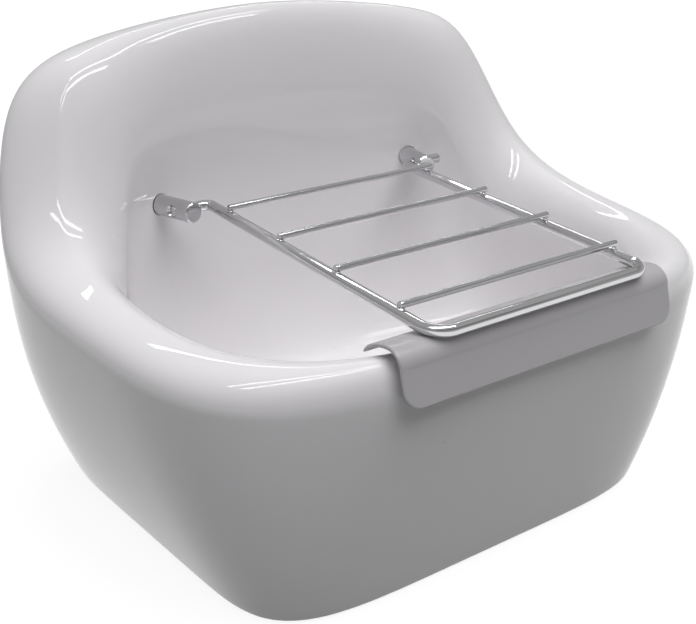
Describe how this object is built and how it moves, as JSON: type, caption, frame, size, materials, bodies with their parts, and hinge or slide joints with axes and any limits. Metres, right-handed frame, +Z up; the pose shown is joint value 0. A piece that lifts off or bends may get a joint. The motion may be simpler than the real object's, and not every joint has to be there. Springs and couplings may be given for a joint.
{
  "type": "mop service sink",
  "caption": "Wall-hung mop service sink: china bowl with a high splash back, a hinged wire bucket grating, a rim saddle and a strainer waste.",
  "frame": {"origin": "middle of the footprint at the height of the foot's underside", "axes": "+X to the right seen from the front, +Y towards the wall, +Z up"},
  "size_m": [0.4898, 0.3576, 0.3502],
  "materials": {
    "china": "gloss white glaze",
    "saddle_plastic": "satin white moulding",
    "chrome": "bright plated",
    "steel": "plain stainless",
    "rubber": "matt black",
    "gasket": "translucent white",
    "brass": "cast and turned"
  },
  "bodies": {
    "sink": {"basin": "china", "rim_saddle": "saddle_plastic", "hinge_post_left": "chrome", "hinge_post_right": "chrome", "hinge_gasket_left": "gasket", "hinge_gasket_right": "gasket", "hinge_stud_left": "steel", "hinge_stud_right": "steel", "hinge_washer_left": "steel", "hinge_washer_right": "steel", "hinge_nut_left": "steel", "hinge_nut_right": "steel", "waste_strainer": "chrome", "waste_screw": "steel", "waste_top_seal": "rubber", "waste_low_seal": "rubber", "waste_body": "brass"},
    "grating": {"grate_frame": "chrome", "grate_wire_1": "chrome", "grate_wire_2": "chrome", "grate_wire_3": "chrome", "grate_wire_4": "chrome"}
  },
  "joints": [
    {"name": "grating_hinge", "type": "hinge", "parent": "sink", "child": "grating", "pos_m": [0.004, 0.08705, 0.218], "axis": [-1, 0, 0], "range_deg": [0, 107.5]}
  ]
}
